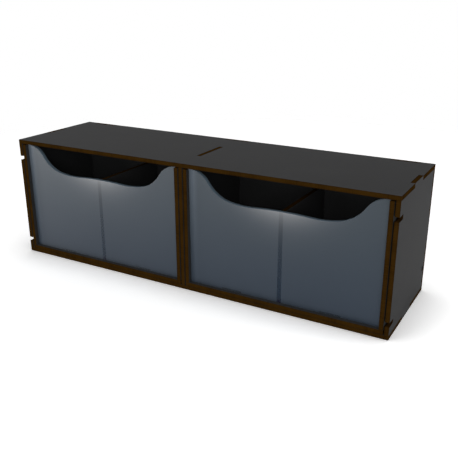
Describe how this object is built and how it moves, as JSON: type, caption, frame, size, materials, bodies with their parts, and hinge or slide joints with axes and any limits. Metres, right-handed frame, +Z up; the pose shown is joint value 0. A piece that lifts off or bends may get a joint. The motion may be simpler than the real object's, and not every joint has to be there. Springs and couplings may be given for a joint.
{
  "type": "drawer organizer",
  "caption": "Low two-bay desk organizer of slotted black board, with side-by-side drawers that have smoky, wave-topped clear fronts and a low partition each.",
  "frame": {"origin": "centre of the case's underside", "axes": "+X to the right along the width, +Y from the drawer fronts to the back panel, +Z up"},
  "size_m": [0.305, 0.0836, 0.0944],
  "materials": {
    "black_board": "black laminate faces with dark brown laser-cut edges",
    "smoky_front": "smoky blue-grey translucent acrylic, satin"
  },
  "bodies": {
    "case": {"top_panel": "black_board", "bottom_panel": "black_board", "left_side": "black_board", "right_side": "black_board", "centre_divider": "black_board", "back_panel": "black_board"},
    "left_drawer": {"left_drawer_front": "smoky_front", "left_drawer_floor": "black_board", "left_drawer_left_wall": "black_board", "left_drawer_right_wall": "black_board", "left_drawer_back": "black_board", "left_drawer_partition": "black_board"},
    "right_drawer": {"right_drawer_front": "smoky_front", "right_drawer_floor": "black_board", "right_drawer_left_wall": "black_board", "right_drawer_right_wall": "black_board", "right_drawer_back": "black_board", "right_drawer_partition": "black_board"}
  },
  "joints": [
    {"name": "left_drawer_slide", "type": "slide", "parent": "case", "child": "left_drawer", "axis": [0, -1, 0], "range_m": [0, 0.065]},
    {"name": "right_drawer_slide", "type": "slide", "parent": "case", "child": "right_drawer", "axis": [0, -1, 0], "range_m": [0, 0.065]}
  ]
}
